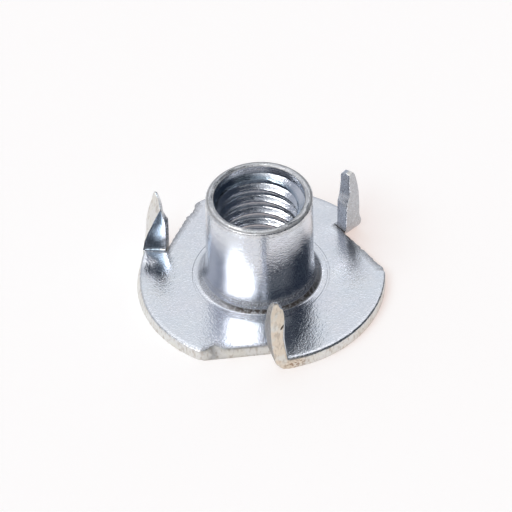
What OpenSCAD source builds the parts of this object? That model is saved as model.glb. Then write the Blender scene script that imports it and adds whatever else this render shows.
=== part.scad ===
// Pronged tee nut: a drawn, threaded barrel on a round stamped flange, with prongs folded up from the rim.
// Millimetres. The origin is on the thread's axis, in the plane of the flange's underside. +Z runs up the barrel.

/* [Sheet] */
// Thickness of the sheet that the nut is stamped from
sheet_t = 1.15; // [0.9:0.05:1.4]

/* [Flange] */
// Diameter of the flange
flange_d = 22.2; // [18.5:0.1:26.7]
// Radius of the rolled edge that blanking leaves round the top of the flange
flange_edge_r = 0.2; // [0.05:0.05:0.35]
// Gap from the foot of the barrel's fillet to the ring that the drawing die presses into the flange
ring_gap = 0.43; // [0.1:0.01:0.8]
// Width of that ring
ring_w = 0.25; // [0.1:0.05:0.5]
// Depth of that ring
ring_depth = 0.05; // [0.02:0.01:0.15]

/* [Barrel] */
// Height from the flange's underside to the barrel's rim
nut_h = 10.5; // [8.5:0.1:12.8]
// Thickness of the barrel's wall outside the thread
barrel_wall = 0.8; // [0.6:0.01:1]
// How far the foot of the barrel flares out, above its fillet
flare_w = 0.15; // [0.05:0.01:0.25]
// Height of that flare above the top of the flange
flare_h = 2.05; // [1.3:0.05:3]
// Radius of the fillet between the flare and the flange
fillet_r = 0.55; // [0.3:0.05:1.1]
// Radius of the rounded outer edge of the rim
rim_r = 0.2; // [0.05:0.05:0.35]

/* [Thread] */
// Major diameter of the screw that the nut takes
thread_major_d = 7.94; // [6.6:0.01:8.4]
// Depth of the formed thread, from its root to its crest
thread_depth = 0.69; // [0.5:0.01:0.9]
// Clearance between the screw and the smooth mouth of the barrel
mouth_clearance = 0.08; // [0.02:0.01:0.15]
// Depth of that smooth mouth
mouth_depth = 0.9; // [0.5:0.05:1.5]
// Angle of the thread's first turn below the mouth, from the horizontal
lead_angle = 30; // [20:1:45]

/* [Prongs] */
// Number of prongs
prong_count = 3; // [3:1:4]
// Direction in which the first prong's cut faces out, from +X
prong_angle = 276; // [0:0.5:360]
// Height of a prong's tip above the flange's underside
prong_h = 7.4; // [6.2:0.1:8.9]
// Width of a prong at its root, which is also the depth of the cut in the rim
prong_w = 2.05; // [1.7:0.01:2.5]
// Gap left by shearing between a prong and the line of its cut
cut_gap = 0.04; // [0.02:0.01:0.1]
// Distance of the fold from the middle of the cut
fold_offset = 1.05; // [0.5:0.05:1.5]
// Inside radius of the fold
fold_r = 0.3; // [0.1:0.05:0.5]
// Height of the widest point of a prong, from which its outer edge curves in
widest_h = 3.4; // [2:0.1:4]
// Height at which the inner edge steps out from the line of the cut
shoulder_h = 4.4; // [3.5:0.1:5]
// Height of that step
shoulder_rise = 0.7; // [0.3:0.1:0.9]
// Depth of that step
shoulder_in = 0.5; // [0.2:0.05:0.6]
// Height of the tip, down to where its inner edge steepens
tip_h = 1; // [0.7:0.05:1.1]
// Distance of the inner edge from the line of the cut at the foot of the tip
tip_in = 0.65; // [0.6:0.05:0.8]
// Width of a prong at its tip
tip_w = 0.8; // [0.7:0.05:1]
// Radius of the blunt tip
tip_r = 0.3; // [0.15:0.05:0.35]
// Height at which the sheared outer edge has run in across the sheet's top face
apex_h = 6.35; // [5.5:0.05:7]
// Distance from the line of the cut to the sheared edge at that height
apex_in = 0.42; // [0.2:0.01:0.8]
// Angle of the sheared edge across the sheet
shear_angle = 47; // [20:1:55]

/* [Nibs] */
// Distance of each torn hollow from the corner where its cut starts
nib_back = 1.2; // [1:0.05:1.6]
// Radius of the hollow at the top of the flange
nib_top_r = 0.9; // [0.5:0.05:1]
// Radius of the hollow at the underside
nib_low_r = 0.15; // [0.05:0.05:0.4]

/* [Hidden] */
$fn = 96;

flange_r = flange_d / 2;
thread_major_r = thread_major_d / 2;
thread_minor_r = thread_major_r - thread_depth;
mouth_r = thread_major_r + mouth_clearance;
barrel_r = thread_major_r + barrel_wall;
// The sheet keeps its thickness round the bend from flange to barrel
bell_r = fillet_r + sheet_t;
lead_h = (mouth_r - thread_minor_r) * tan(lead_angle);
lead_z = nut_h - mouth_depth - lead_h;
foot_r = barrel_r + flare_w + fillet_r;
ring_r = foot_r + ring_gap;

cut_r = flange_r - prong_w;
cut_half = sqrt(flange_r * flange_r - cut_r * cut_r);
fold_z = sheet_t + fold_r;
bend_r = fold_r + sheet_t;
// How far the cut runs on past the fold
tear = 0.1;
tip_out = tip_in + tip_w;
// How far the sheared edge leans in as it climbs the sheet's top face
shear_lean = atan2(prong_w - apex_in, apex_h - fold_z);
// Keeps a blade's curved outer edge from grazing the flange's own curve
ease = 0.03;
// Larger than the whole nut, for cutting away one side of a plane
far = 2 * flange_d;

// Half section of the flange, about its own centre
module flange_section() {
    square([flange_r, sheet_t - flange_edge_r]);
    square([flange_r - flange_edge_r, sheet_t]);
    translate([flange_r - flange_edge_r, sheet_t - flange_edge_r]) circle(r = flange_edge_r);
}

// Half section of the barrel's outside, with its rounded rim, its flared foot and its fillet
module barrel_section() {
    square([barrel_r, nut_h - rim_r]);
    square([barrel_r - rim_r, nut_h]);
    translate([barrel_r - rim_r, nut_h - rim_r]) circle(r = rim_r);
    polygon([
        [0, sheet_t],
        [barrel_r + flare_w, sheet_t],
        [barrel_r + flare_w, sheet_t + fillet_r],
        [barrel_r, sheet_t + flare_h],
        [0, sheet_t + flare_h]
    ]);
    difference() {
        square([foot_r, sheet_t + fillet_r]);
        translate([foot_r, sheet_t + fillet_r]) circle(r = fillet_r);
    }
}

// Half section of everything that is open inside: the bell-mouthed entry, the bore, the lead-in and the mouth
module bore_section() {
    polygon([
        [0, -1],
        [thread_minor_r, -1],
        [thread_minor_r, lead_z],
        [mouth_r, lead_z + lead_h],
        [mouth_r, nut_h + 1],
        [0, nut_h + 1]
    ]);
    difference() {
        translate([0, -1]) square([thread_minor_r + bell_r, bell_r + 1]);
        translate([thread_minor_r + bell_r, bell_r]) circle(r = bell_r);
    }
}

// Turns to each prong in turn: +X out through the cut, +Y along it towards the fold
module at_prongs() {
    for (i = [0 : prong_count - 1])
        rotate([0, 0, prong_angle + i * 360 / prong_count]) children();
}

// What one cut takes out of the rim, from the corner of the nib to just past the fold
module cut() {
    translate([cut_r, fold_offset + tear - far, -1]) cube([far, far, sheet_t + 2]);
}

// The hollow that tearing leaves in the nib, where the cut starts
module nib_hollow() {
    translate([cut_r, nib_back - cut_half, 0])
        cylinder(r1 = nib_low_r, r2 = nib_top_r, h = sheet_t);
    translate([cut_r, nib_back - cut_half, sheet_t]) cylinder(r = nib_top_r, h = 1);
}

// A prong seen square on: x out from the line of the cut, y up from the flange's underside
module prong_outline() {
    intersection() {
        union() {
            translate([cut_gap, -1]) square([far, widest_h + 1]);
            translate([ease - cut_r, widest_h]) circle(r = flange_r, $fn = 360);
        }
        union() {
            polygon([
                [cut_gap, -1],
                [far, -1],
                [far, prong_h - 4 * tip_r],
                [prong_w + 1, prong_h - 4 * tip_r],
                [tip_out, prong_h - tip_r],
                [tip_out - 2 * tip_r, prong_h - tip_r],
                [tip_in, prong_h - tip_h],
                [shoulder_in, shoulder_h + shoulder_rise],
                [cut_gap, shoulder_h]
            ]);
            translate([tip_out - tip_r, prong_h - tip_r]) circle(r = tip_r);
        }
    }
}

// The bent strip seen along the fold, about the bend's axis: the root in the flange, the bend and the blade
module bend_section() {
    translate([0, -bend_r]) square([2 * tear, sheet_t]);
    intersection() {
        difference() {
            circle(r = bend_r);
            circle(r = fold_r);
        }
        translate([-bend_r, -bend_r]) square(bend_r);
    }
    translate([-bend_r, 0]) square([sheet_t, prong_h]);
}

// What shearing takes off the outer edge of the blade, at a slant across the sheet
module sheared_edge() {
    intersection() {
        translate([flange_r, fold_offset - fold_r, fold_z])
            rotate([0, -shear_lean, 0]) rotate([0, 0, shear_angle])
                translate([0, -far / 2, -far / 2]) cube(far);
        translate([0, -far / 2, fold_z]) cube(far);
    }
}

module prong() {
    difference() {
        intersection() {
            translate([cut_r, fold_offset, fold_z]) rotate([90, 0, 90])
                linear_extrude(height = far) bend_section();
            translate([cut_r, far / 2, 0]) rotate([90, 0, 0])
                linear_extrude(height = far) prong_outline();
        }
        sheared_edge();
    }
}

module tee_nut() {
    color([0.76, 0.79, 0.83]) difference() {
        union() {
            difference() {
                rotate_extrude($fn = 360) flange_section();
                at_prongs() cut();
                at_prongs() nib_hollow();
            }
            intersection() {
                at_prongs() prong();
                cylinder(r = flange_r, h = far, $fn = 360);
            }
            rotate_extrude() barrel_section();
        }
        rotate_extrude() bore_section();
        rotate_extrude() translate([ring_r, sheet_t - ring_depth])
            square([ring_w, sheet_t]);
    }
}

tee_nut();
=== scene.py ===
"""Looks of the pronged tee nut: one closed mesh of bright zinc plated steel that stands for the CAD node.

Sizes are in millimetres, in the frame of the CAD model, and the mesh is scaled to metres at the end.
The nut is one sheet, so its mesh is one grid. Columns run round the thread's axis. Rings of vertices run in
from the flange's edge over its top, up the barrel, down the bore and out again over the underside. Each prong
carries on from the columns along its fold, and a strip closes the edge of the sheet all round.

Each prong has a frame of its own: n points out square to its cut, and s runs along the cut towards the fold.
A point in that frame is the complex number n + i s, and a point of the whole nut is x + i y.
"""

import math

import bmesh
import bpy
import numpy as np
from mathutils import Matrix, Vector


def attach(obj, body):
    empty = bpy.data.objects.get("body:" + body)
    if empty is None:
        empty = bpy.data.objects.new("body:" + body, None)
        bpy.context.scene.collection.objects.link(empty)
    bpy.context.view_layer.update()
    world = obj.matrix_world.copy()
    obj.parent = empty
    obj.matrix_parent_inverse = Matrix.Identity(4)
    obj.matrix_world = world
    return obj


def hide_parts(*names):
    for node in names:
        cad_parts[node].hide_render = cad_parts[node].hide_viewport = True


MM = 0.001

# The blank, as in the CAD model
SHEET_T = 1.15
FLANGE_R = 11.1
PRONG_W = 2.05
CUT_R = FLANGE_R - PRONG_W
CUT_HALF = math.sqrt(FLANGE_R ** 2 - CUT_R ** 2)
FOLD_S = 1.05
FOLD_R = 0.3
BEND_R = FOLD_R + SHEET_T
PRONGS = 3
PRONG_ANGLE = 276.0

# The barrel and its smooth mouth
NUT_H = 10.5
BARREL_LOW_R = 4.81
BARREL_TOP_R = 4.73
MOUTH_R = 4.05

# Columns in each third of the nut: along the fold, along the round edge and along the cut
COLS_FOLD = 11
COLS_ARC = 72
COLS_CUT = 45
COLS = COLS_FOLD + COLS_ARC + COLS_CUT
ALL_COLS = COLS * PRONGS
# Those three kinds of edge
FOLD, ARC, CUT = 0, 1, 2
# Radius inside which the columns are even all round
INNER_R = 6.5


def turn(k):
    """Unit complex number that turns prong k's own frame, n + i s, to x + i y."""
    return np.exp(1j * math.radians(PRONG_ANGLE + 360 * k / PRONGS))


def as_xyz(flat, z):
    """Stacks complex x + i y and heights z into an (n, 3) array."""
    return np.stack([flat.real, flat.imag, np.broadcast_to(z, flat.shape)], -1)


def smooth_noise(points, size, seed):
    """Smooth random values of about unit size at 3-D points: a sum of waves no shorter than size."""
    waves = 24
    rng = np.random.default_rng(seed)
    total = np.zeros(len(points))
    for _ in range(waves):
        direction = rng.normal(size=3)
        direction /= np.linalg.norm(direction)
        wave = 2 * math.pi / (size * rng.uniform(1.0, 2.5))
        total += np.sin(points @ direction * wave + rng.uniform(0, 2 * math.pi))
    return total / math.sqrt(waves / 2)


# ---------------------------------------------------------------- the prongs' own differences

class Prong:
    """What sets one prong, and the cut and the fold it comes from, apart from the others."""

    def __init__(self, height, twist, bow=0.0, lean=0.0, skew=0.0, shear=1.0, tip=0.2, slim=0.0, nib=0.4,
                 scoop=0.0, swell=0.04, point=0.0, bare_and_shaded=0.0, splay=0.0, heavy=0.0, step=1.2, worn=0.0,
                 dent=0.0, face_shade=0.0):
        self.height = height    # height of its tip above the flange's underside
        self.twist = twist      # degrees turned, at the fold and at the tip
        self.bow = bow          # how far the middle of the blade bows back towards the cut
        self.lean = lean        # how far the tip leans forward over the fold
        self.skew = skew        # how far the fold and the blade's inner face are turned out of square
        self.shear = shear      # how much of the slant on the outer edge it has
        self.tip = tip          # thickness of the tip
        self.slim = slim        # how far its outer edge is worn in
        self.nib = nib          # depth of the torn hollow where its cut starts
        self.scoop = scoop      # how far its inner face is hollowed
        self.swell = swell      # how far its folding has raised the flange
        self.point = point      # how far its outer face leans in at the tip
        self.bare_and_shaded = bare_and_shaded        # how bare its outer face is, and how much brown shade is painted on it
        self.splay = splay      # how far its outer edge is spread at the foot
        self.heavy = heavy      # how much thicker it is below the tip
        self.step = step        # how far in its inner edge comes at most
        self.worn = worn        # how far its outer edge is worn in at the tip
        self.dent = dent        # depth of the hollow that its folding has left in the flange
        self.face_shade = face_shade  # painted shade across its inner face, short of the inner edge

    def fold_end(self, outer):
        """Where the fold starts at the cut, or ends at the flange's edge, as s along the cut."""
        return FOLD_S + (0.7 if outer else -1.0) * self.skew


PRONG = [
    Prong(7.45, (12, 9), bow=0.4, shear=0.35, tip=0.8, nib=0.66, scoop=-0.15, point=0.25, bare_and_shaded=0.6, heavy=0.25),
    Prong(7.8, (8, 14), bow=0.1, lean=0.05, shear=0.4, tip=1.05, slim=0.25, nib=0.08, step=0.45, worn=0.2,
          bare_and_shaded=0.25),
    Prong(7.25, (3, 4), bow=0.05, skew=0.28, tip=0.3, nib=0.22, scoop=0.26, swell=0.02, splay=0.2, dent=0.2,
          face_shade=0.9),
]


# ---------------------------------------------------------------- the outline of the flange

# The torn hollow at the start of a cut: distances from the corner, and its depth there as a share of the nib's
HOLLOW_AT, HOLLOW_DEPTH = [0.0, 0.35, 1.1, 1.35, 2.0, 2.4], [0.0, 0.18, 0.95, 1.0, 0.22, 0.0]

# How far in the nib's corner is blunted, and the columns on both sides of it
CORNER_BLUNT = 0.14
BESIDE_BLUNT = 0.04


def third_outline(k):
    """Outer boundary from the corner under prong k to the next, in the prong's frame.

    Returns the points, the outward normals, the kinds of edge and the depths of the torn hollow. The hollow
    rises steeply from the corner.
    """
    after = PRONG[(k + 1) % PRONGS]
    s_in, s_out = PRONG[k].fold_end(False), PRONG[k].fold_end(True)
    fold_n = math.sqrt(FLANGE_R ** 2 - s_out ** 2)
    step = np.arange(COLS_FOLD) / COLS_FOLD
    fold = CUT_R + (fold_n - CUT_R) * step + 1j * (s_in + (s_out - s_in) * step)
    start = math.atan2(s_out, fold_n)
    end = 2 * math.pi / PRONGS - math.atan2(CUT_HALF, CUT_R)
    arc_angle = start + (end - start) * np.arange(COLS_ARC) / COLS_ARC
    arc = FLANGE_R * np.exp(1j * arc_angle)
    cut_s = -CUT_HALF + (after.fold_end(False) + CUT_HALF) * np.arange(COLS_CUT) / COLS_CUT
    next_frame = np.exp(2j * math.pi / PRONGS)
    cut = (CUT_R + 1j * cut_s) * next_frame
    points = np.concatenate([fold, arc, cut])
    normals = np.concatenate([np.ones(COLS_FOLD), np.exp(1j * arc_angle), np.full(COLS_CUT, next_frame)])
    kind = np.repeat([FOLD, ARC, CUT], [COLS_FOLD, COLS_ARC, COLS_CUT])
    torn = after.nib * np.interp(cut_s + CUT_HALF, HOLLOW_AT, HOLLOW_DEPTH)
    return points, normals, kind, np.concatenate([np.zeros(COLS_FOLD + COLS_ARC), torn])


class Outline:
    """Outer boundary of the whole flange, and the way out from the axis inside INNER_R, one entry a column."""

    def __init__(self):
        thirds = [third_outline(k) for k in range(PRONGS)]
        self.flat = np.concatenate([third[0] * turn(k) for k, third in enumerate(thirds)])
        self.normal = np.concatenate([third[1] * turn(k) for k, third in enumerate(thirds)])
        self.kind = np.concatenate([third[2] for third in thirds])
        self.hollow = np.concatenate([third[3] for third in thirds])
        for j in np.flatnonzero((self.kind == CUT) & (np.roll(self.kind, 1) == ARC)):
            self.blunt_corner(j)
        first = math.atan2(FOLD_S, CUT_R)
        self.way = turn(0) * np.exp(1j * (first + 2 * math.pi * np.arange(ALL_COLS) / ALL_COLS))
        self.angle = np.angle(self.way)

    def blunt_corner(self, j):
        """Moves in the corner at column j, and its neighbours a little."""
        self.normal[j] = self.normal[j - 1] + self.normal[j + 1]
        self.normal[j] /= abs(self.normal[j])
        self.flat[j] -= CORNER_BLUNT * self.normal[j]
        for beside in (j - 1, j + 1):
            self.flat[beside] -= BESIDE_BLUNT * self.normal[j]


OUT = Outline()


# ---------------------------------------------------------------- rings of the flange

# The swelling that folding has left beside each prong, in its frame: its middle and its sizes along n and s
SWELL_AT = 9.5 + 1.2j
SWELL_N = 1.3
SWELL_S = 0.65

# The hollow beside a fold, in the prong's frame
DENT_AT = 9.75 + 2.6j
DENT_R = 0.8

# Radii of the rounded corners of the sheet's edge: on top round the flange and along the cuts, and underneath
ARC_ROLL = 0.2
CUT_ROLL = 0.1
LOW_ROLL = 0.04

# How far in the flange's rounded top edge comes, and how ragged the top edge of a cut is
ARC_INSET = 0.22
RAGGED = 0.03
RAGGED_SIZE = 0.3
RAGGED_SEED = 3

# The slanting burr on the flange's left edge: its width, and how far round it runs, in degrees
BURR_W = 0.28
BURR_HALF = 16.0

TOP_STEPS = 16
LOW_STEPS = 6


def relief(p):
    """Height that folding the prongs has given the flange's top, at complex points p = x + i y."""
    total = np.zeros(len(p))
    for k in range(PRONGS):
        q = p / turn(k)
        away = ((q - SWELL_AT).real / SWELL_N) ** 2 + ((q - SWELL_AT).imag / SWELL_S) ** 2
        total += PRONG[k].swell * np.exp(-away / 2)
        total -= PRONG[k].dent * np.exp(-abs(q - DENT_AT) ** 2 / (2 * DENT_R ** 2))
    return total


def top_inset():
    """How far in from the outline the sheet's top edge is, at each column."""
    from_left = np.degrees(np.angle(-OUT.flat))
    burr = BURR_W * np.exp(-(from_left / BURR_HALF) ** 2 / 2)
    ragged = RAGGED * smooth_noise(as_xyz(OUT.flat, 0.0), RAGGED_SIZE, RAGGED_SEED)
    inset = np.select([OUT.kind == ARC, OUT.kind == CUT], [ARC_INSET + burr, CUT_ROLL + ragged], 0.0)
    return inset + OUT.hollow


def flange_rings(top):
    """Rings of the flange's top or underside, from its edge in to INNER_R."""
    inset = top_inset() if top else np.where(OUT.kind == FOLD, 0.0, LOW_ROLL)
    edge = OUT.flat - OUT.normal * inset
    rings = []
    for share in np.linspace(0, 1, (TOP_STEPS if top else LOW_STEPS) + 1):
        ring = edge + (OUT.way * INNER_R - edge) * share
        rings.append(as_xyz(ring, SHEET_T + relief(ring) if top else 0.0))
    return rings


# ---------------------------------------------------------------- rings of the barrel

# The ring that the drawing die has pressed into the flange: its edges, how far its sides slope, and its depth
RING_IN_R = 5.9
RING_OUT_R = 6.15
RING_SLOPE = 0.03
RING_DEPTH = 0.04

# The flare of the barrel's foot, and how far drawing has pushed the foot off centre
FLARE_W = 0.24
FLARE_H = 2.4
FLARE_POWER = 1.7
FOOT_SHIFT = complex(-0.08, 0.1)

# The fillet below the flare: its radius, the slope in degrees at which it meets the flare, its width at the
# front and the back as a share of the radius, and how much wider it is at the sides and on the left
FILLET_R = 0.55
FILLET_START = 14.0
FILLET_NARROW = 0.75
FILLET_SPREAD = 0.75
FILLET_LEFT = 0.15

FILLET_STEPS = 14
FLARE_STEPS = 8
WALL_STEPS = 14

# The barrel's tilt: its slope towards the right, and the height at which it starts
TILT = 0.0140
TILT_FROM = 5.0

# The rim: its outer and inner corners, how far its middle stands above them, and its grooves and ripples
RIM_R = 0.2
RIM_INNER_R = 0.09
RIM_CROWN = 0.07
RIM_STEPS = 8
RIM_GROOVE = 0.016
RIPPLE_H = 0.010
RIPPLE_R = 4.3
RIPPLE_SIZE = 0.9
RIPPLE_SEED = 20

# Brown shade painted where the fillet mirrors the dark room: by its slope in degrees, on the flare by the share
# of its height, and on both by the direction in degrees from the front, plus to the right
SLOPE_AT, SLOPE_SHADE = [16, 22, 64, 74], [0.2, 1, 1, 0]
FLARE_AT, FLARE_SHADE = [0, 0.08, 0.2, 0.5], [0.1, 0.1, 0.6, 0]
ROUND_AT, ROUND_SHADE = [-100, -60, -20, 60, 100], [0.15, 0.4, 1, 1, 0.4]

# How bare the rim is, and the shade painted on each of its rings, darkest at its rounded corners
RIM_BARE = 0.45
RIM_SHADE = [0, 0, 0.2, 0.64, 0.48, 0.32, 0.08, 0, 0.12, 0.28, 0.12, 0, 0.24, 0.6, 0.4]


def round_ring(r, z):
    """A ring at radius r and height z round the axis, with the barrel's slight tilt."""
    rise = np.clip((z - TILT_FROM) / (NUT_H - TILT_FROM), 0, 1)
    return as_xyz(OUT.way * r, z + TILT * r * np.cos(OUT.angle) * rise)


def foot_ring(r, z):
    """A ring of the barrel's outside, which drawing has pushed off centre at its foot."""
    shift = np.interp(z, [SHEET_T + FLARE_H, NUT_H], [1, 0])
    return as_xyz(OUT.way * r + FOOT_SHIFT * shift, z)


def fillet_out(slope):
    """How far the fillet stands out from the flare where its surface faces up by slope degrees."""
    return FILLET_R * (math.cos(math.radians(FILLET_START)) - math.cos(math.radians(slope)))


def fillet_height(slope):
    """Height of the fillet's surface where it faces up by slope degrees."""
    return SHEET_T + FILLET_R * (1 - math.sin(math.radians(slope)))


def fillet_rings():
    """Rings up the fillet and the flare above it, and how much brown shade is painted on each."""
    side = np.sin(OUT.angle + math.pi / 2)
    spread = FILLET_NARROW + FILLET_SPREAD * side ** 2 - FILLET_LEFT * side
    from_front = (np.degrees(OUT.angle) + 270) % 360 - 180
    # More shade is painted at the front and the right
    shade_by_side = np.interp(from_front, ROUND_AT, ROUND_SHADE)
    rings, soil = [], []
    for slope in np.linspace(90, FILLET_START, FILLET_STEPS):
        radius = BARREL_LOW_R + FLARE_W + fillet_out(slope) * spread
        rings.append(foot_ring(radius, fillet_height(slope)))
        soil.append(shade_by_side * np.interp(slope, SLOPE_AT, SLOPE_SHADE))
    low, high = fillet_height(FILLET_START), SHEET_T + FLARE_H
    for share in np.linspace(0, 1, FLARE_STEPS + 1)[1:]:
        radius = BARREL_LOW_R + FLARE_W * (1 - share) ** FLARE_POWER
        rings.append(foot_ring(radius, low + (high - low) * share))
        soil.append(shade_by_side * np.interp(share, FLARE_AT, FLARE_SHADE))
    return rings, soil


def wall_rings():
    """Rings up the barrel's wall, from the flare to the rim's outer corner."""
    low, high = SHEET_T + FLARE_H, NUT_H - RIM_R
    rings = []
    for share in np.linspace(0, 1, WALL_STEPS + 1)[1:]:
        z = low + (high - low) * share
        ring = foot_ring(BARREL_LOW_R + (BARREL_TOP_R - BARREL_LOW_R) * share, z)
        ring[:, 2] = round_ring(BARREL_TOP_R, z)[:, 2]
        rings.append(ring)
    return rings


def rim_rings():
    """Rings over the rim: its outer corner, its crowned and grooved top, and its inner corner."""
    rings = []
    corner_z = NUT_H - RIM_CROWN
    for a in np.radians([18, 36, 54, 72, 90]):
        rings.append(round_ring(BARREL_TOP_R - RIM_R * (1 - math.cos(a)), corner_z - RIM_R * (1 - math.sin(a))))
    outer, inner = BARREL_TOP_R - RIM_R, MOUTH_R + RIM_INNER_R
    for j, share in enumerate(np.linspace(0, 1, RIM_STEPS + 1)[1:]):
        drop = RIM_CROWN * (2 * share - 1) ** 2 + RIM_GROOVE * (j % 2)
        waves = smooth_noise(as_xyz(OUT.way, 0.0) * RIPPLE_R, RIPPLE_SIZE, RIPPLE_SEED + j)
        ripple = RIPPLE_H * waves * math.sin(share * math.pi)
        rings.append(round_ring(outer + (inner - outer) * share, NUT_H - drop + ripple))
    for a in np.radians([30, 60]):
        rings.append(round_ring(inner - RIM_INNER_R * math.sin(a), corner_z - RIM_INNER_R * (1 - math.cos(a))))
    return rings


def barrel_rings():
    """Rings in over the pressed ring, up the fillet and the barrel, and over the rim, with the shade painted on
    each.
    """
    pressed = [
        round_ring(RING_OUT_R, SHEET_T),
        round_ring(RING_OUT_R - RING_SLOPE, SHEET_T - RING_DEPTH),
        round_ring(RING_IN_R + RING_SLOPE, SHEET_T - RING_DEPTH),
        round_ring(RING_IN_R, SHEET_T),
    ]
    foot, foot_shade = fillet_rings()
    wall = wall_rings()
    soil = [0] * len(pressed) + foot_shade + [0] * len(wall) + RIM_SHADE
    return pressed + foot + wall + rim_rings(), soil


# ---------------------------------------------------------------- rings of the bore

# The smooth mouth: its depth, and how far down its rings are
MOUTH_DEPTH = 0.9
MOUTH_DOWN = (0.09, 0.3, 0.5, 0.7)
LEAD_ANGLE = 35.0

# The thread: 5/16-18, right-hand. Its depth, and the shade painted on its crests and roots, are given by the
# share of a turn, which runs up from the middle of one crest to the middle of the next
PITCH = 1.411
CREST_R = 3.34
ROOT_R = 3.88
THREAD_AT, THREAD_DEEP = [0.0, 0.10, 0.34, 0.68, 0.90, 1.0], [0, 0, 1, 1, 0, 0]
FLANK_AT, FLANK_SHADE = [0.0, 0.05, 0.32, 0.40, 0.92, 1.0], [0.4, 0, 0, 0.85, 0.85, 0.4]
# How far its corners are rounded to each side, as a share of a turn
THREAD_ROUND = 0.04

# Below it, the plain bore, the height over which the thread runs out to it, and the bell-mouthed entry, which
# starts this steep, in degrees
BORE_R = 3.28
RUN_OUT = 0.8
BORE_STEPS = 120
BELL_R = FILLET_R + SHEET_T
BELL_START = 82
BELL_STEPS = 9

# Painted shade in the smooth mouth and the bell-mouthed entry
MOUTH_SHADE = 0.1
BELL_SHADE = 0.3


def thread_phase(angle, z):
    """Where a point lies in the thread's turn, from 0 at the middle of a crest up to 1 at the next."""
    return (z / PITCH - angle / (2 * math.pi) - 0.5) % 1.0


def thread_radius(angle, z):
    """Radius of the formed thread at an angle and height: flat crests and roots with rounded corners."""
    t = thread_phase(angle, z)
    shifts = np.linspace(-THREAD_ROUND, THREAD_ROUND, 5)
    deep = sum(np.interp((t + shift) % 1.0, THREAD_AT, THREAD_DEEP) for shift in shifts) / len(shifts)
    return CREST_R + (ROOT_R - CREST_R) * deep


def bore_rings():
    """Rings down the bore, with the shade painted on each: smooth mouth, lead-in, thread and bell-mouth."""
    rings = [round_ring(MOUTH_R, NUT_H - down) for down in MOUTH_DOWN]
    deep = [MOUTH_SHADE] * len(rings)
    angle = np.unwrap(OUT.angle)
    lead_top = NUT_H - MOUTH_DEPTH
    for z in np.linspace(lead_top, BELL_R + 0.05, BORE_STEPS):
        fade = np.clip((z - BELL_R) / RUN_OUT, 0, 1)
        radius = BORE_R + (thread_radius(angle, z) - BORE_R) * fade
        cone = MOUTH_R - (lead_top - z) / math.tan(math.radians(LEAD_ANGLE))
        rings.append(as_xyz(OUT.way * np.maximum(radius, cone), z))
        # Painted shade on the thread's crests and roots, darker than on its flanks
        deep.append(np.interp(thread_phase(angle, z), FLANK_AT, FLANK_SHADE))
    for a in np.linspace(math.radians(BELL_START), 0, BELL_STEPS):
        rings.append(round_ring(BORE_R + BELL_R * (1 - math.sin(a)), BELL_R * (1 - math.cos(a))))
        deep.append(BELL_SHADE)
    return rings, deep


# ---------------------------------------------------------------- the mesh

class Mesh:
    """Vertices, faces, and the values at each vertex: how bare its steel is, and the brown and the dark blue
    shade painted on it.
    """

    def __init__(self):
        self.points = []
        self.faces = []
        self.values = {"bare": [], "soil": [], "deep": []}

    def add(self, points, bare=0.0, soil=0.0, deep=0.0):
        """Adds points and returns their indices."""
        points = np.asarray(points, float).reshape(-1, 3)
        first = len(self.points)
        self.points.extend(points)
        for name, value in (("bare", bare), ("soil", soil), ("deep", deep)):
            self.values[name].extend(np.broadcast_to(value, (len(points),)))
        return np.arange(first, len(self.points))

    def quads(self, a, b, closed=False):
        """Joins two rows of indices with quads."""
        for i in range(len(a) if closed else len(a) - 1):
            j = (i + 1) % len(a)
            self.faces.append((a[i], a[j], b[j], b[i]))

    def join(self, rows, closed=False):
        """Joins each row of indices to the next."""
        for a, b in zip(rows, rows[1:]):
            self.quads(a, b, closed)


# Shade painted on the flange's edge along the cuts and the folds, and the outer rings of the top that it fades
# over
CUT_SHADE = 0.5
FOLD_SHADE = 0.35
SHADED_RINGS = 3


def add_body(mesh):
    """Adds the flange, the barrel and the bore. Returns the outermost rings of the top and the underside."""
    edge_shade = np.select([OUT.kind == CUT, OUT.kind == FOLD], [CUT_SHADE, FOLD_SHADE], 0.0)
    top = []
    for j, ring in enumerate(flange_rings(True)):
        top.append(mesh.add(ring, soil=edge_shade * max(0.0, 1 - j / SHADED_RINGS)))
    barrel = []
    for ring, soil in zip(*barrel_rings()):
        barrel.append(mesh.add(ring, RIM_BARE * (ring[0][2] > NUT_H - RIM_R), soil))
    bore = [mesh.add(ring, deep=deep) for ring, deep in zip(*bore_rings())]
    low = [mesh.add(ring) for ring in flange_rings(False)]
    mesh.join(top + barrel + bore + low[::-1], closed=True)
    return top[0], low[0]


# ---------------------------------------------------------------- the prongs

# Outline of a prong, square on: heights, then the inner and outer edges of its outer face (the sheet's
# underside) and of its inner face (the sheet's top), as distances out from the line of the cut
STATION_Z = [1.45, 2.5, 3.4, 4.3, 4.6, 5.1, 5.9, 6.4, 6.8, 7.1, 7.25, 7.35, 7.4]
LOW_IN = [0.04, 0.04, 0.04, 0.06, 0.25, 0.50, 0.57, 0.65, 0.75, 0.86, 0.93, 1.01, 1.08]
LOW_OUT = [2.05, 2.05, 2.04, 2.00, 1.98, 1.93, 1.80, 1.66, 1.54, 1.42, 1.36, 1.28, 1.20]
TOP_IN = [0.04, 0.04, 0.04, 0.04, 0.08, 0.14, 0.27, 0.40, 0.58, 0.76, 0.88, 0.98, 1.06]
TOP_OUT = [2.03, 1.68, 1.44, 1.18, 1.10, 0.94, 0.66, 0.44, 0.62, 0.82, 0.95, 1.06, 1.14]
THICKNESS = [1.15, 1.15, 1.15, 1.15, 1.15, 1.15, 1.12, 1.05, 0.72, 0.48, 0.36, 0.25, 0.16]

# Rows of the bend and of the blade, and the heights of the closer rows at the blunt tip
BEND_ROWS = 5
BLADE_ROWS = 27
TIP_ROWS_Z = [7.05, 7.17, 7.27, 7.34, 7.4]

# The blade's outer face, as s, and the upright line that the blade is twisted about
BLADE_S = FOLD_S - BEND_R
TWIST_N = CUT_R + 1.0
TWIST_S = BLADE_S + SHEET_T / 2

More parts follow.
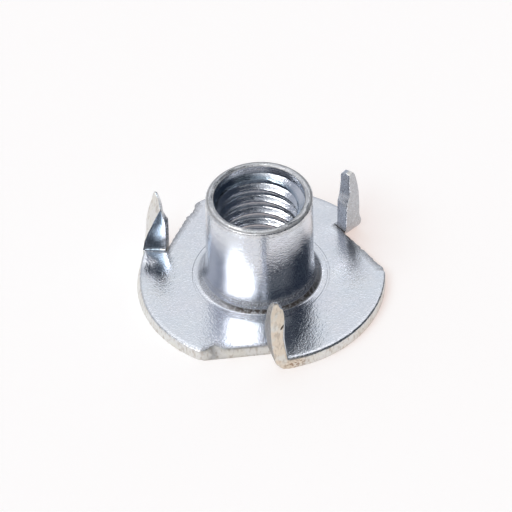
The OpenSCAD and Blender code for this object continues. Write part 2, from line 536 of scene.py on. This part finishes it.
# Where up a prong of nominal height each of its differences acts, as shares of the whole difference
BLUNT_Z, BLUNT = [7.0, 7.25, 7.35, 7.4], [1.0, 0.9, 0.7, 0.4]
HEAVY_Z, HEAVY = [3.5, 5.6, 6.5, 7.1], [0, 1, 0.8, 0]
SKEW_Z, SKEW = [4.5, 6.4], [1, 0]
SLIM_Z, SLIM = [1.45, 2.2, 5.9, 7.4], [0, 1, 1, 0]
WORN_Z, WORN = [5.9, 7.4], [0, 1]
SPLAY_Z, SPLAY = [1.45, 2.2, 3.4, 5.0, 6.2, 7.4], [0.3, 1, 0.8, 0, -0.6, 0]
POINT_Z, POINT = [6.5, 7.4], [0, 1]
BOW_SHARE = 0.6
# How far in the skew draws the outer edge of the inner face
SKEW_IN = 0.4

# The scoop of the inner face: where it starts, its height, and its depth at the edges as a share of that
# in the middle
SCOOP_Z = 1.0
SCOOP_H = 5.2
SCOOP_EDGE = 0.6

# Painted shade across the inner face, by the share of its width from the inner edge
FACE_SHADE_AT, FACE_SHADE = [0.1, 0.3, 0.8, 1.0], [0, 1, 1, 0.5]

# Radii of a prong's rounded corners, along its sides and at its tip, and the largest share of its width that
# one takes
PRONG_ROLL = 0.05
TIP_ROLL = 0.02
ROLL_SHARE = 0.3

# Height over which the relief of the flange fades out up the inner face
RELIEF_H = 1.0


def blade_line(p, heights, outer, top):
    """One corner of prong p's blade before its twist: distances out from the line of the cut, and s."""
    u = np.interp(heights, STATION_Z, LOW_OUT if outer else LOW_IN)
    if top:
        u += p.shear * (np.interp(heights, STATION_Z, TOP_OUT if outer else TOP_IN) - u)
    if outer:
        u -= p.slim * np.interp(heights, SLIM_Z, SLIM) + p.worn * np.interp(heights, WORN_Z, WORN)
        u += p.splay * np.interp(heights, SPLAY_Z, SPLAY)
    else:
        u = np.minimum(u, p.step)
    if not top:
        return u, BLADE_S + p.point * np.interp(heights, POINT_Z, POINT)
    blunt = p.tip * np.interp(heights, BLUNT_Z, BLUNT)
    thick = np.maximum(np.interp(heights, STATION_Z, THICKNESS), blunt)
    thick += p.heavy * np.interp(heights, HEAVY_Z, HEAVY)
    skew = p.skew * np.interp(heights, SKEW_Z, SKEW)
    if outer:
        return u - SKEW_IN * skew, BLADE_S + thick + skew
    return u, BLADE_S + thick - skew


def prong_corners(p):
    """Corner curves of prong p, row by row, in its own frame: a dict of (rows, 3) arrays of n, s, z."""
    even = np.linspace(STATION_Z[0], TIP_ROWS_Z[0], BLADE_ROWS, endpoint=False)
    heights = np.concatenate([even, TIP_ROWS_Z])
    scale = (p.height - STATION_Z[0]) / (STATION_Z[-1] - STATION_Z[0])
    z = STATION_Z[0] + (heights - STATION_Z[0]) * scale
    share = (z - z[0]) / (z[-1] - z[0])
    shift = p.lean * share - BOW_SHARE * p.bow * np.sin(share * math.pi)
    twist = np.radians(p.twist[0] + (p.twist[1] - p.twist[0]) * np.sqrt(share))
    a = np.linspace(0, math.pi / 2, BEND_ROWS + 1)[1:]
    bend = np.stack([1 - np.cos(a), np.sin(a), 1 - np.cos(a)], -1)
    corners = {}
    for name in ("low_in", "low_out", "top_in", "top_out"):
        outer, top = name.endswith("out"), name.startswith("top")
        u, s = blade_line(p, heights, outer, top)
        across = (CUT_R + u - TWIST_N + 1j * (s - TWIST_S)) * np.exp(1j * twist)
        blade = np.stack([TWIST_N + across.real, TWIST_S + across.imag + shift, z], -1)
        start = np.array([CUT_R + u[0], p.fold_end(outer), SHEET_T if top else 0.0])
        corners[name] = np.concatenate([start + (blade[0] - start) * bend, blade[1:]])
    return corners


def in_place(points, k):
    """Turns an (m, 3) array of n, s, z in prong k's frame to x, y, z."""
    return as_xyz((points[:, 0] + 1j * points[:, 1]) * turn(k), points[:, 2])


def blade_row(p, inner, outer, across, top):
    """A row of points across one face of prong p, short of its rounded corners, in its own frame."""
    row = inner + (outer - inner) * across[:, None]
    if top:
        climb = np.clip((row[0, 2] - SCOOP_Z) / SCOOP_H, 0, 1)
        hollow = SCOOP_EDGE + (1 - SCOOP_EDGE) * np.sin(across * math.pi)
        row[:, 1] -= p.scoop * math.sin(climb * math.pi) * hollow
    width = np.linalg.norm(outer - inner)
    inset = (outer - inner) / max(width, 1e-6) * min(PRONG_ROLL, ROLL_SHARE * width)
    row[0] += inset
    row[-1] -= inset
    return row


def add_blade(mesh, k, first_top, first_low):
    """Adds both faces of prong k above the fold.

    Returns their rows of indices, from the fold to the tip, and the prong's corner curves in place.
    """
    p = PRONG[k]
    corners = prong_corners(p)
    across = np.linspace(0, 1, COLS_FOLD + 1)
    # Painted shade on the blade's inner face, in the plating's dark blue
    face_shade = p.face_shade * np.interp(across, FACE_SHADE_AT, FACE_SHADE)
    rows = {"top": [first_top], "low": [first_low]}
    for inner, outer in zip(corners["top_in"], corners["top_out"]):
        points = in_place(blade_row(p, inner, outer, across, True), k)
        fade = max(0.0, 1 - (points[0, 2] - SHEET_T) / RELIEF_H)
        points[:, 2] += relief(points[:, 0] + 1j * points[:, 1]) * fade
        rows["top"].append(mesh.add(points, deep=face_shade))
    mesh.join(rows["top"])
    for inner, outer in zip(corners["low_in"], corners["low_out"]):
        points = in_place(blade_row(p, inner, outer, across, False), k)
        # The outer face: bare steel, with brown shade painted on it
        rows["low"].append(mesh.add(points, bare=p.bare_and_shaded, soil=p.bare_and_shaded))
    mesh.join(rows["low"])
    return rows, {name: in_place(corner, k) for name, corner in corners.items()}


# ---------------------------------------------------------------- the edge of the sheet

# Across the sheet's edge, from top to underside: the slopes of its rounded top corner in degrees, shares of the
# way down its face, and the slopes of its lower corner
TOP_CORNER = [30, 60, 90]
FACE_SHARES = [0.2, 0.4, 0.6, 0.8]
LOW_CORNER = [90, 45]

# How bare each of those points is, and its share of the shade painted on the top beside it
EDGE_BARE = np.array([0.2, 0.7, 1, 1, 1, 1, 1, 1, 0.5])
EDGE_SHADE = np.array([1, 1, 0.6, 0.3, 0.2, 0.2, 0.3, 0.6, 0.8])
# How bare the inner edges of the prongs are, against the rest of the sheet's edge
INNER_BARE = 0.4


class EdgeStop:
    """One place along the sheet's edge, where a row of points crosses it from the top to the underside."""

    def __init__(self, top, low, top_corner, low_corner, out, top_roll, low_roll, bare=1.0):
        self.top = top                # index of the last vertex of the top
        self.low = low                # index of the first vertex of the underside
        self.top_corner = top_corner  # the edge's corners as they would be if they were sharp
        self.low_corner = low_corner
        self.out = out                # direction out of the edge
        self.top_roll = top_roll      # radii of the rounded corners
        self.low_roll = low_roll
        self.bare = bare              # how bare the steel is here

    def points(self):
        """Points across the edge, from just past the top's last vertex to just before the underside's first."""
        rise = self.top_corner - self.low_corner
        rise = rise / np.linalg.norm(rise)
        points = []
        for a in np.radians(TOP_CORNER):
            inward = self.out * self.top_roll * (1 - math.sin(a))
            points.append(self.top_corner - inward - rise * self.top_roll * (1 - math.cos(a)))
        upper = self.top_corner - rise * self.top_roll
        lower = self.low_corner + rise * self.low_roll
        for share in FACE_SHARES:
            points.append(upper + (lower - upper) * share)
        for a in np.radians(LOW_CORNER):
            inward = self.out * self.low_roll * (1 - math.sin(a))
            points.append(self.low_corner - inward + rise * self.low_roll * (1 - math.cos(a)))
        return points


def corner_stop(k, top, low):
    """The stop at the corner where prong k's fold meets its cut."""
    j = k * COLS
    corner = OUT.flat[j:j + 1]
    low_corner = as_xyz(corner, 0.0)[0]
    top_corner = low_corner + (0, 0, SHEET_T + relief(corner)[0])
    return EdgeStop(top[j], low[j], top_corner, low_corner, np.zeros(3), 0.0, 0.0)


def blade_stops(mesh, k, rows, corners):
    """Stops up prong k's inner edge, over its tip and down its outer edge."""
    out = as_xyz(np.array([turn(k)]), 0.0)[0]
    up = np.array([0, 0, 1.0])
    last = len(rows["top"]) - 1

    def side_stop(q, side, column, way, bare):
        """The stop at row q on the prong's side called in or out."""
        roll = PRONG_ROLL if q < last else TIP_ROLL
        return EdgeStop(rows["top"][q][column], rows["low"][q][column], corners["top_" + side][q - 1],
                        corners["low_" + side][q - 1], way, roll, roll, bare)

    stops = [side_stop(q, "in", 0, -out, INNER_BARE) for q in range(1, last + 1)]
    for top, low in zip(rows["top"][-1][1:-1], rows["low"][-1][1:-1]):
        stops.append(EdgeStop(top, low, mesh.points[top] + up * TIP_ROLL, mesh.points[low] + up * TIP_ROLL,
                              up, TIP_ROLL, TIP_ROLL))
    return stops + [side_stop(q, "out", -1, out, 1.0) for q in range(last, 0, -1)]


def flange_stops(mesh, k, top, low):
    """Stops along the round edge after prong k and along the next cut."""
    stops = []
    for j in range(k * COLS + COLS_FOLD, (k + 1) * COLS):
        out = as_xyz(OUT.normal[j:j + 1], 0.0)[0]
        roll = ARC_ROLL if OUT.kind[j] == ARC else CUT_ROLL
        top_corner = mesh.points[top[j]] + out * roll
        low_corner = as_xyz(OUT.flat[j:j + 1], 0.0)[0]
        stops.append(EdgeStop(top[j], low[j], top_corner, low_corner, out, roll, LOW_ROLL))
    return stops


def add_edge(mesh, stops):
    """Closes the edge of the sheet with a strip through all its stops."""
    strips = []
    for stop in stops:
        # Shade painted across the edge, darkest at its corners
        soil = mesh.values["soil"][stop.top] * EDGE_SHADE
        ids = mesh.add(stop.points(), EDGE_BARE * stop.bare, soil)
        strips.append(np.concatenate([[stop.top], ids, [stop.low]]))
    mesh.join(strips + strips[:1])


# ---------------------------------------------------------------- the object

# Edges sharper than this, in degrees, are shaded sharp
SHARP_ANGLE = 50


def shade(data):
    """Turns all the normals out, and shades the mesh smooth but for its sharp edges."""
    bm = bmesh.new()
    bm.from_mesh(data)
    bmesh.ops.recalc_face_normals(bm, faces=bm.faces)
    for e in bm.edges:
        if len(e.link_faces) == 2 and e.calc_face_angle(0) > math.radians(SHARP_ANGLE):
            e.smooth = False
    for f in bm.faces:
        f.smooth = True
    bm.to_mesh(data)
    bm.free()


def nut_object(mesh):
    """Makes the mesh an object in the scene, and returns it."""
    data = bpy.data.meshes.new("tee_nut_body")
    data.from_pydata([tuple(p * MM) for p in mesh.points], [], [tuple(int(i) for i in f) for f in mesh.faces])
    for name, values in mesh.values.items():
        attribute = data.attributes.new(name, "FLOAT", "POINT")
        attribute.data.foreach_set("value", np.asarray(values, np.float32))
    data.validate()
    nut = bpy.data.objects.new("tee_nut_body", data)
    bpy.context.scene.collection.objects.link(nut)
    shade(data)
    return nut


def build_nut():
    """Builds the whole nut and returns its object."""
    mesh = Mesh()
    top, low = add_body(mesh)
    stops = []
    for k in range(PRONGS):
        cols = np.arange(k * COLS, k * COLS + COLS_FOLD + 1)
        rows, corners = add_blade(mesh, k, top[cols], low[cols])
        stops.append(corner_stop(k, top, low))
        stops += blade_stops(mesh, k, rows, corners)
        stops += flange_stops(mesh, k, top, low)
    add_edge(mesh, stops)
    return nut_object(mesh)


# ---------------------------------------------------------------- materials

class Nodes:
    """Short ways to add nodes to a tree. An input may be a number, a colour or another node's output."""

    def __init__(self, tree):
        self.tree = tree

    def feed(self, socket, value):
        """Links a node's output to a socket, or sets the socket to a constant."""
        if isinstance(value, bpy.types.NodeSocket):
            self.tree.links.new(value, socket)
        else:
            socket.default_value = value

    def attribute(self, name):
        """One of the mesh's values."""
        node = self.tree.nodes.new("ShaderNodeAttribute")
        node.attribute_name = name
        return node.outputs["Fac"]

    def math(self, operation, *values):
        """The result of a sum on one or two values."""
        node = self.tree.nodes.new("ShaderNodeMath")
        node.operation = operation
        for socket, value in zip(node.inputs, values):
            self.feed(socket, value)
        return node.outputs["Value"]

    def ramp(self, value, low, high, at_low=0.0, at_high=1.0, smooth=True):
        """at_low at and below low, at_high at and above high, and a smooth rise between them."""
        node = self.tree.nodes.new("ShaderNodeMapRange")
        node.interpolation_type = "SMOOTHSTEP" if smooth else "LINEAR"
        for name, number in (("From Min", low), ("From Max", high), ("To Min", at_low), ("To Max", at_high)):
            node.inputs[name].default_value = number
        self.feed(node.inputs["Value"], value)
        return node.outputs["Result"]

    def mix(self, share, below, above):
        """One colour over another, by a share from 0 to 1."""
        node = self.tree.nodes.new("ShaderNodeMix")
        node.data_type = "RGBA"
        self.feed(node.inputs["Factor"], share)
        self.feed(node.inputs["A"], below)
        self.feed(node.inputs["B"], above)
        return node.outputs["Result"]

    def noise(self, vector, size, detail, seed=0.0):
        """Noise whose features are about size millimetres."""
        node = self.tree.nodes.new("ShaderNodeTexNoise")
        node.noise_dimensions = "4D"
        node.inputs["W"].default_value = seed
        node.inputs["Scale"].default_value = 1 / (size * MM)
        node.inputs["Detail"].default_value = detail
        self.feed(node.inputs["Vector"], vector)
        return node.outputs["Fac"]

    def stretched(self, vector, scale):
        """Positions for noise that is drawn out by these factors along x, y and z."""
        node = self.tree.nodes.new("ShaderNodeMapping")
        node.inputs["Scale"].default_value = [1 / c for c in scale]
        self.feed(node.inputs["Vector"], vector)
        return node.outputs["Vector"]

    def blot(self, vector, centre, size, turned=0.0):
        """1 at the middle of an ellipsoid and 0 at its surface. Centre and half sizes are in millimetres."""
        node = self.tree.nodes.new("ShaderNodeMapping")
        node.vector_type = "TEXTURE"
        node.inputs["Location"].default_value = [c * MM for c in centre]
        node.inputs["Rotation"].default_value = (0, math.radians(turned), 0)
        node.inputs["Scale"].default_value = [c * MM for c in size]
        self.feed(node.inputs["Vector"], vector)
        away = self.tree.nodes.new("ShaderNodeVectorMath")
        away.operation = "LENGTH"
        self.feed(away.inputs[0], node.outputs["Vector"])
        return self.ramp(away.outputs["Value"], 0.0, 1.0, 1.0, 0.0, smooth=False)


# The plating: its two clouded colours, its violet patches, the dark of its grain, and its painted dark blue
# shade
ZINC_BLUE = (0.68, 0.73, 0.80, 1)
ZINC_GREY = (0.77, 0.77, 0.78, 1)
ZINC_VIOLET = (0.72, 0.71, 0.77, 1)
ZINC_GRAIN = (0.55, 0.60, 0.68, 1)
ZINC_SHADE = (0.26, 0.33, 0.40, 1)

# Bare sheared steel: clean, stained, in its pale patches and in its brown streaks, and how strong those are
STEEL = (0.80, 0.79, 0.77, 1)
STEEL_STAINED = (0.79, 0.70, 0.59, 1)
STEEL_PALE = (0.79, 0.77, 0.72, 1)
STEEL_STREAK = (0.40, 0.32, 0.25, 1)
STREAK_SHARE = 0.42
STREAK_STRETCH = (1.0, 1.0, 2.5)

# Painted shade: brown and matt, laid on by the mesh's brown shade value
BROWN_SHADE = (0.055, 0.045, 0.038, 1)

# Marks on the front prong, by their middles and half sizes: rust on its foot, and a stain and a scratch on its
# sheared face
RUST = (0.34, 0.22, 0.14, 1)
RUST_AT = (2.9, -10.9, 0.5)
RUST_SIZE = (1.5, 1.2, 0.7)
STAIN_AT = (1.8, -10.9, 3.5)
STAIN_SIZE = (3.0, 2.5, 6.0)
SCRATCH = (0.10, 0.08, 0.06, 1)
SCRATCH_AT = (1.72, -10.9, 4.8)
SCRATCH_SIZE = (0.15, 0.9, 0.36)
SCRATCH_TURN = 33.0

# Roughness of the plating from smooth to rough grain, and what bare steel, flecks and the painted brown shade
# add to it
ROUGH_LOW, ROUGH_HIGH = 0.10, 0.20
BARE_ROUGH = 0.26
FLECK_ROUGH = 0.06
SHADE_ROUGH = 0.3

# Height of the bumps, and the shares in it of clouds, flecks and torn steel against the grain's
BUMP_H = 0.022
CLOUD_BUMP = 0.6
FLECK_BUMP = 0.3
TORN_BUMP = 4.0


def steel_colour(n, place):
    """Colour of bare sheared steel."""
    colour = n.mix(n.ramp(n.blot(place, STAIN_AT, STAIN_SIZE), 0.1, 0.4), STEEL, STEEL_STAINED)
    colour = n.mix(n.ramp(n.noise(place, 0.9, detail=3.0, seed=2.0), 0.45, 0.65), colour, STEEL_PALE)
    streak = n.ramp(n.noise(n.stretched(place, STREAK_STRETCH), 0.25, detail=4.0, seed=3.0), 0.50, 0.64)
    return n.mix(n.math("MULTIPLY", streak, STREAK_SHARE), colour, STEEL_STREAK)


def with_marks(n, place, colour):
    """A colour with the rust and the scratch over it."""
    rusty = n.ramp(n.noise(place, 0.3, detail=4.0, seed=7.0), 0.44, 0.56)
    rust = n.math("MULTIPLY", n.blot(place, RUST_AT, RUST_SIZE), rusty)
    colour = n.mix(n.ramp(rust, 0.0, 0.6, 0.0, 0.8), colour, RUST)
    scratch = n.ramp(n.blot(place, SCRATCH_AT, SCRATCH_SIZE, SCRATCH_TURN), 0.05, 0.3)
    return n.mix(scratch, colour, SCRATCH)


def zinc():
    """Bright zinc plate with a fine grain, changed by the mesh's values.

    It is bare sheared steel where 'bare' is one. The other two values paint shade on it: a brown, matt shade
    and the plating's dark blue.
    """
    m = bpy.data.materials.new("zinc")
    m.use_nodes = True
    tree = m.node_tree
    n = Nodes(tree)
    shader = tree.nodes["Principled BSDF"]
    place = tree.nodes.new("ShaderNodeTexCoord").outputs["Object"]
    bare, soil, deep = n.attribute("bare"), n.attribute("soil"), n.attribute("deep")

    grain = n.noise(place, 0.15, detail=2.0)
    cloud = n.noise(place, 1.6, detail=3.0, seed=4.0)
    patch = n.noise(place, 3.5, detail=2.0, seed=6.0)
    fleck = n.ramp(n.noise(place, 0.3, detail=2.0, seed=9.0), 0.62, 0.72)
    # The painted brown shade, broken into patches
    patchy = n.ramp(n.noise(place, 0.25, detail=4.0, seed=5.0), 0.32, 0.56, 0.55, 1.0)
    shade_mask = n.math("MULTIPLY", soil, patchy)

    colour = n.mix(cloud, ZINC_BLUE, ZINC_GREY)
    colour = n.mix(n.ramp(patch, 0.35, 0.65, 0.0, 0.4), colour, ZINC_VIOLET)
    colour = n.mix(n.ramp(grain, 0.35, 0.65, 0.0, 0.3), colour, ZINC_GRAIN)
    # Painted shade: the plating turns dark blue where this value is
    colour = n.mix(deep, colour, ZINC_SHADE)
    colour = n.mix(bare, colour, steel_colour(n, place))
    # Painted shade, brown, over the plating and the steel
    colour = n.mix(shade_mask, colour, BROWN_SHADE)
    tree.links.new(with_marks(n, place, colour), shader.inputs["Base Color"])

    rough = n.ramp(grain, 0.3, 0.7, ROUGH_LOW, ROUGH_HIGH)
    for cause, added in ((bare, BARE_ROUGH), (fleck, FLECK_ROUGH), (shade_mask, SHADE_ROUGH)):
        rough = n.math("ADD", rough, n.math("MULTIPLY", cause, added))
    tree.links.new(rough, shader.inputs["Roughness"])
    tree.links.new(n.math("SUBTRACT", 1.0, shade_mask), shader.inputs["Metallic"])

    bump = tree.nodes.new("ShaderNodeBump")
    bump.inputs["Strength"].default_value = 1.0
    bump.inputs["Distance"].default_value = BUMP_H * MM
    torn = n.math("MULTIPLY", bare, n.noise(place, 0.35, detail=4.0, seed=8.0))
    height = n.math("ADD", grain, n.math("MULTIPLY", cloud, CLOUD_BUMP))
    height = n.math("SUBTRACT", height, n.math("MULTIPLY", fleck, FLECK_BUMP))
    height = n.math("ADD", height, n.math("MULTIPLY", torn, TORN_BUMP))
    tree.links.new(height, bump.inputs["Height"])
    tree.links.new(bump.outputs["Normal"], shader.inputs["Normal"])
    return m


# The floor: its size in metres and its own colour, and as it is seen, what it keeps in shadow and what the
# light adds to it
FLOOR_SIZE = 6
FLOOR = (0.8, 0.8, 0.8, 1)
FLOOR_SHADED = (0.34, 0.50, 0.56, 1)
FLOOR_GLOW = (0.71, 0.56, 0.50, 1)


def paper():
    """Matt pale floor. As it is seen, or mirrored in the metal, it is white, with a pale and warm shadow."""
    m = bpy.data.materials.new("paper")
    m.use_nodes = True
    tree = m.node_tree
    n = Nodes(tree)
    shader = tree.nodes["Principled BSDF"]
    shader.inputs["Base Color"].default_value = FLOOR
    shader.inputs["Roughness"].default_value = 0.9
    shader.inputs["Specular IOR Level"].default_value = 0.1
    matt = tree.nodes.new("ShaderNodeBsdfDiffuse")
    matt.inputs["Color"].default_value = FLOOR_SHADED
    glow = tree.nodes.new("ShaderNodeEmission")
    glow.inputs["Color"].default_value = FLOOR_GLOW
    both = tree.nodes.new("ShaderNodeAddShader")
    tree.links.new(matt.outputs["BSDF"], both.inputs[0])
    tree.links.new(glow.outputs["Emission"], both.inputs[1])
    path = tree.nodes.new("ShaderNodeLightPath").outputs
    seen = n.math("MAXIMUM", path["Is Camera Ray"], path["Is Glossy Ray"])
    seen = n.math("MAXIMUM", seen, path["Is Transmission Ray"])
    mix = tree.nodes.new("ShaderNodeMixShader")
    tree.links.new(seen, mix.inputs["Fac"])
    tree.links.new(shader.outputs["BSDF"], mix.inputs[1])
    tree.links.new(both.outputs["Shader"], mix.inputs[2])
    tree.links.new(mix.outputs["Shader"], tree.nodes["Material Output"].inputs["Surface"])
    return m


# ---------------------------------------------------------------- stage, lights and camera

def stage():
    """The floor, in the plane of the flange's underside."""
    bpy.ops.mesh.primitive_plane_add(size=FLOOR_SIZE, location=(0, 0, 0))
    floor = bpy.context.object
    floor.name = "floor"
    floor.data.materials.append(paper())


# Panels of the studio round the nut, each over the ones before it: azimuth of the middle and half width, with 0
# at the camera's side and plus to its right, then lowest and highest elevation, the width of the soft edge, all
# in degrees, and the colour
PANELS = [
    ((0, 180), (-90, 1), 2, (1.0, 1.0, 1.0, 1)),          # white floor out to the horizon
    ((180, 42), (30, 54), 6, (0.88, 0.90, 0.93, 1)),      # pale wall behind
    ((180, 60), (53, 61), 3, (1.8, 1.8, 1.8, 1)),         # lamp strip above it
    ((0, 180), (70, 90), 6, (0.80, 0.82, 0.85, 1)),       # ceiling
    ((-90, 50), (60, 84), 6, (1.6, 1.6, 1.6, 1)),         # its bright side, to the left
    ((90, 60), (55, 84), 6, (0.06, 0.07, 0.09, 1)),       # its dark side, to the right
    ((0, 50), (5, 46), 3, (0.14, 0.14, 0.15, 1)),         # the photographer
    ((75, 64), (5, 30), 4, (0.05, 0.06, 0.08, 1)),        # dark room to the right, lower down
    ((75, 64), (26, 66), 4, (0.03, 0.04, 0.06, 1)),       # dark room to the right, higher up
    ((20, 50), (49, 57), 3, (0.5, 0.5, 0.5, 1)),          # pale strip above the camera
    ((-92, 16), (20, 60), 6, (0.40, 0.43, 0.50, 1)),      # dim wall to the left
    ((-120, 14), (20, 60), 6, (0.60, 0.62, 0.68, 1)),     # paler wall beyond it
    ((-45, 34), (31, 64), 4, (0.9, 0.9, 0.9, 1)),         # wall that the softbox lights
    ((-44, 28), (37, 56), 3, (6.5, 6.5, 6.5, 1)),         # softbox to the left
]
ALL_ROUND = 180
ROOM = (0.50, 0.53, 0.58, 1)


def sky():
    """Studio surroundings, as a world made of soft-edged panels."""
    world = bpy.data.worlds.new("studio")
    bpy.context.scene.world = world
    world.use_nodes = True
    tree = world.node_tree
    n = Nodes(tree)
    place = tree.nodes.new("ShaderNodeTexCoord").outputs["Generated"]
    split = tree.nodes.new("ShaderNodeSeparateXYZ")
    tree.links.new(place, split.inputs["Vector"])
    up = n.math("DEGREES", n.math("ARCSINE", split.outputs["Z"]))

    def along(direction):
        """How far the line of sight runs along a level direction."""
        dot = tree.nodes.new("ShaderNodeVectorMath")
        dot.operation = "DOT_PRODUCT"
        tree.links.new(place, dot.inputs[0])
        dot.inputs[1].default_value = direction
        return dot.outputs["Value"]

    def within(away, half, soft):
        """1 where away is less than half, and 0 where it is more, with a soft edge."""
        return n.ramp(away, half - soft, half + soft, 1.0, 0.0)

    colour = ROOM
    for (azimuth, half), (low, high), soft, paint in PANELS:
        above = n.math("ABSOLUTE", n.math("SUBTRACT", up, (low + high) / 2))
        mask = within(above, (high - low) / 2, soft)
        if half < ALL_ROUND:
            a = math.radians(azimuth)
            ahead = along((math.sin(a), -math.cos(a), 0))
            aside = along((math.cos(a), math.sin(a), 0))
            beside = n.math("ABSOLUTE", n.math("DEGREES", n.math("ARCTAN2", aside, ahead)))
            mask = n.math("MULTIPLY", mask, within(beside, half, soft))
        colour = n.mix(mask, colour, paint)
    tree.links.new(colour, tree.nodes["Background"].inputs["Color"])


# The photograph's view: degrees down from level and turned about the line of sight, the distance, the point
# aimed at, and the focal length as a multiple of the picture's width
CAMERA_DOWN = 44.15
CAMERA_ROLL = 1.45
CAMERA_FAR = 400.0
CAMERA_AIM = (-0.41, 0, 3.31)
FOCAL_RATIO = 4505 / 512
SENSOR_W = 36


def camera():
    """The camera, in front of the nut and looking down on it."""
    tilt, roll = math.radians(CAMERA_DOWN), math.radians(CAMERA_ROLL)
    forward = Vector((0, math.cos(tilt), -math.sin(tilt)))
    side = Vector((1, 0, 0))
    above = side.cross(forward)
    right = math.cos(roll) * side - math.sin(roll) * above
    up = math.sin(roll) * side + math.cos(roll) * above
    data = bpy.data.cameras.new("camera")
    data.sensor_width = SENSOR_W
    data.lens = SENSOR_W * FOCAL_RATIO
    data.clip_start = 0.01
    data.clip_end = 20
    cam = bpy.data.objects.new("camera", data)
    place = (Vector(CAMERA_AIM) - forward * CAMERA_FAR) * MM
    cam.matrix_world = Matrix.Translation(place) @ Matrix((right, up, -forward)).transposed().to_4x4()
    bpy.context.scene.collection.objects.link(cam)
    bpy.context.scene.camera = cam


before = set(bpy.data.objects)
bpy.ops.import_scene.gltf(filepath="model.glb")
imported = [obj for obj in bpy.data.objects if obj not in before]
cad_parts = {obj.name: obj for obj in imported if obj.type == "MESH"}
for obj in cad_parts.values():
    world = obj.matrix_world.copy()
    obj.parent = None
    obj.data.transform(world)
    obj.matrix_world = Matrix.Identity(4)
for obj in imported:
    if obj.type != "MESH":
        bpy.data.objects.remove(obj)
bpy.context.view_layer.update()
nut = build_nut()
nut.data.materials.append(zinc())
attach(nut, "root")
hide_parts("tee_nut")
stage()
sky()
camera()
bpy.context.scene.view_settings.view_transform = "Standard"
